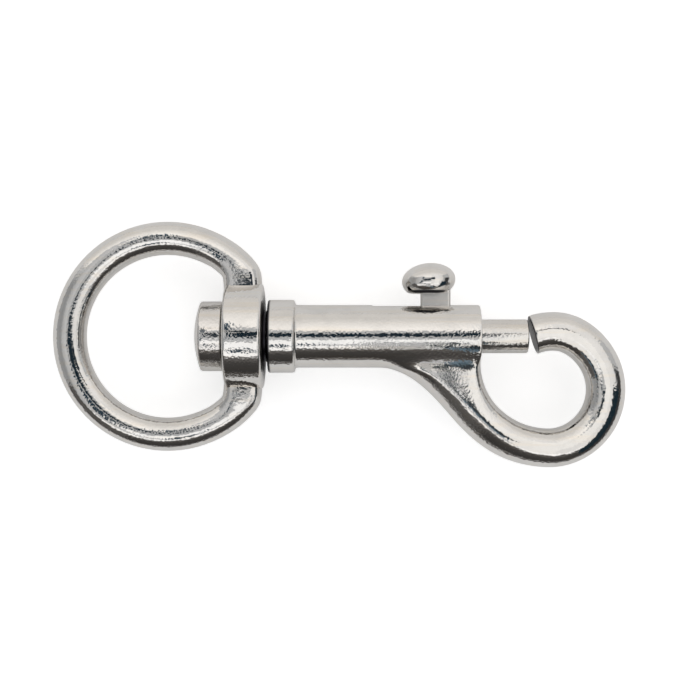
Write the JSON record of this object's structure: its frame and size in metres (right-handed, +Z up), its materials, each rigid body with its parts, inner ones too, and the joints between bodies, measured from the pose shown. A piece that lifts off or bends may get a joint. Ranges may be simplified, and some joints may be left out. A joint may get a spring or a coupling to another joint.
{
  "type": "swivel snap hook",
  "caption": "Snap hook with a freely turning round ring at one end, a round barrel with a thumb-drawn spring bolt, and a curved hook whose mouth the bolt closes.",
  "frame": {"origin": "centre of the ring, on the swivel axis", "axes": "+X along the swivel axis from the ring to the hook, +Y to the thumb stud's side in the plane of ring and hook, +Z up from the side that it lies on"},
  "size_m": [0.0893, 0.0384, 0.0166],
  "materials": {
    "hook_nickel": "nickel-plated casting, bright with fine cast grain",
    "ring_nickel": "nickel-plated casting, bright with fine cast grain",
    "pin_nickel": "nickel plated, bright",
    "bolt_nickel": "nickel plated, satin",
    "stud_nickel": "nickel plated, bright knob on a satin stem",
    "spring_wire": "drawn spring wire"
  },
  "bodies": {
    "hook": {"hook_body": "hook_nickel", "swivel_pin": "pin_nickel", "spring": "spring_wire"},
    "ring": {"swivel_eye": "ring_nickel"},
    "plunger": {"bolt": "bolt_nickel", "thumb_stud": "stud_nickel"}
  },
  "joints": [
    {"name": "eye_swivel", "type": "hinge", "parent": "hook", "child": "ring", "pos_m": [0, 0, 0], "axis": [1, 0, 0], "continuous": true},
    {"name": "bolt_slide", "type": "slide", "parent": "hook", "child": "plunger", "axis": [-1, 0, 0], "range_m": [0, 0.0074], "stiffness_N_per_m": 450, "springref_m": -0.007, "deforming": ["spring"]}
  ]
}
